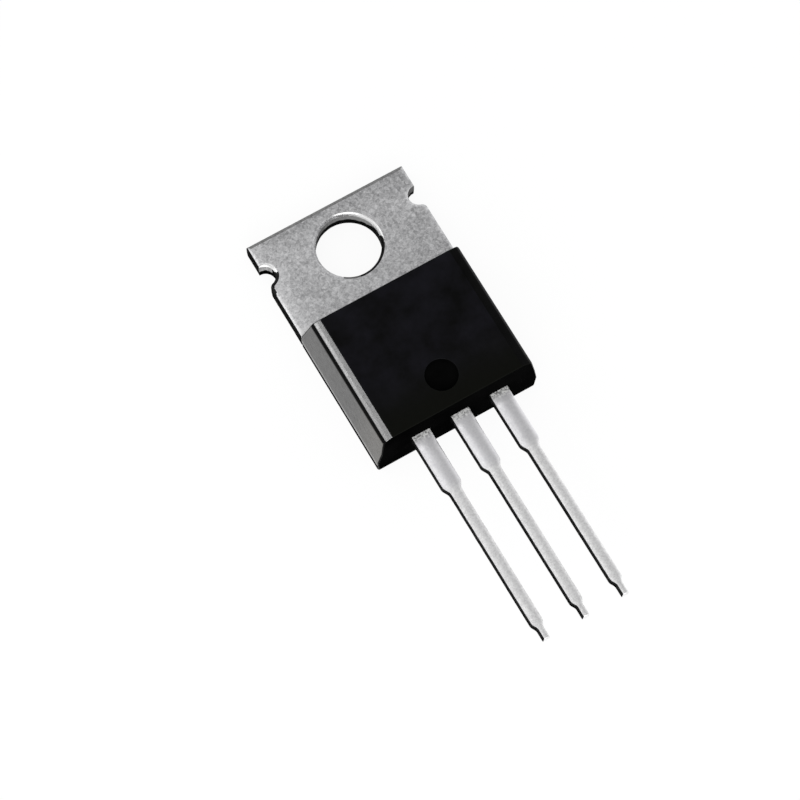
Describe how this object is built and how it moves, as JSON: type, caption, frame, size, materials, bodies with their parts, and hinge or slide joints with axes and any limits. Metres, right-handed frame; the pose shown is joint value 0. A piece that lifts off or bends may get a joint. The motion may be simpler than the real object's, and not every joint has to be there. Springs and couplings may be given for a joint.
{
  "type": "power mosfet",
  "caption": "Power MOSFET in a flat three-lead through-hole package, with a black moulded body and a notched metal mounting tab with a round hole.",
  "frame": {"origin": "mounting hole axis at the flat back face of the tab", "axes": "+X across the width, +Y from the leads towards the free end of the tab, +Z out of the back face towards the moulded front"},
  "size_m": [0.0104, 0.0293, 0.0044],
  "materials": {
    "mould_epoxy": "black mineral-filled epoxy moulding compound, fine eroded mould texture",
    "plated_copper": "punched copper strip with a satin grey plating on the tab and tin on the middle lead",
    "tinned_lead": "bright tin plating over copper",
    "silicon": "silicon with aluminium metallisation on its top",
    "solder": "dull soft solder",
    "aluminium_wire": "bright drawn aluminium wire"
  },
  "bodies": {
    "root": {"mould_body": "mould_epoxy", "drain_tab": "plated_copper", "gate_lead": "tinned_lead", "source_lead": "tinned_lead", "silicon_die": "silicon", "die_solder": "solder", "gate_wire": "aluminium_wire", "source_wire_1": "aluminium_wire", "source_wire_2": "aluminium_wire"}
  },
  "joints": []
}
